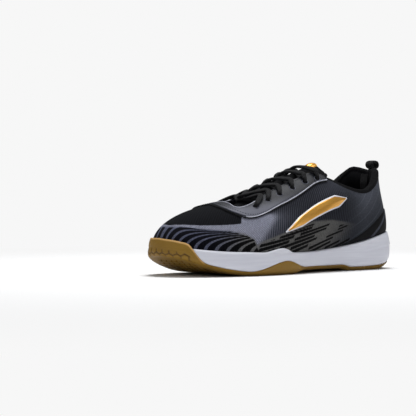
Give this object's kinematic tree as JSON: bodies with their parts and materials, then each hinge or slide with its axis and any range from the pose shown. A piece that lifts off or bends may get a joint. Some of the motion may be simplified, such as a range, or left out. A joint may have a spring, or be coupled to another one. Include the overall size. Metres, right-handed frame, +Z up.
{
  "type": "court shoe",
  "caption": "Left indoor court shoe with a wrapped rubber outsole, cupped foam midsole, knit upper, padded collar, laced tongue and heel pull loop.",
  "frame": {"origin": "on the ground plane under the middle of the shoe's bounding box", "axes": "-Y towards the toe, +Y towards the heel, +X towards the outer (little toe) side, +Z up"},
  "size_m": [0.1033, 0.2943, 0.1117],
  "materials": {
    "gum_rubber": "matte",
    "midsole_foam": "matte",
    "shank_plate": "satin",
    "board": "matte",
    "insole_foam": "matte",
    "knit": "matte",
    "stiffener": "matte",
    "collar_foam": "matte",
    "lining": "matte",
    "eyestay_film": "satin",
    "piping": "matte",
    "heel_film": "satin",
    "emblem_border": "satin",
    "gold_film": "metallic satin",
    "tongue_fabric": "matte",
    "lace_webbing": "matte",
    "aglet_plastic": "gloss",
    "webbing": "matte"
  },
  "bodies": {
    "shoe": {"outsole": "gum_rubber", "midsole": "midsole_foam", "shank": "shank_plate", "strobel_board": "board", "knit_upper": "knit", "toe_puff": "stiffener", "heel_counter": "stiffener", "collar_foam": "collar_foam", "quarter_lining": "lining", "vamp_lining": "lining", "collar_binding": "lining", "eyestay": "eyestay_film", "eyestay_piping": "piping", "heel_film": "heel_film", "side_emblem_border": "emblem_border", "side_emblem": "gold_film", "lace": "lace_webbing", "aglets": "aglet_plastic", "pull_loop_tab": "webbing"},
    "tongue": {"tongue": "tongue_fabric", "tongue_label": "gold_film"},
    "insole": {"insole": "insole_foam"},
    "pull_loop": {"pull_loop": "webbing"}
  },
  "joints": [
    {"name": "tongue_tilt", "type": "hinge", "parent": "shoe", "child": "tongue", "pos_m": [-0.0023, -0.0691, 0.0605], "axis": [-1, 0, 0], "range_deg": [0, 8], "stiffness_Nm_per_rad": 0.4},
    {"name": "insole_lift", "type": "hinge", "parent": "shoe", "child": "insole", "pos_m": [-0.0023, -0.1181, 0.024], "axis": [1, 0, 0], "range_deg": [0, 5]},
    {"name": "pull_loop_flop", "type": "hinge", "parent": "shoe", "child": "pull_loop", "pos_m": [-0.0023, 0.1393, 0.1031], "axis": [1, 0, 0], "range_deg": [-40, 12], "stiffness_Nm_per_rad": 0.02}
  ]
}
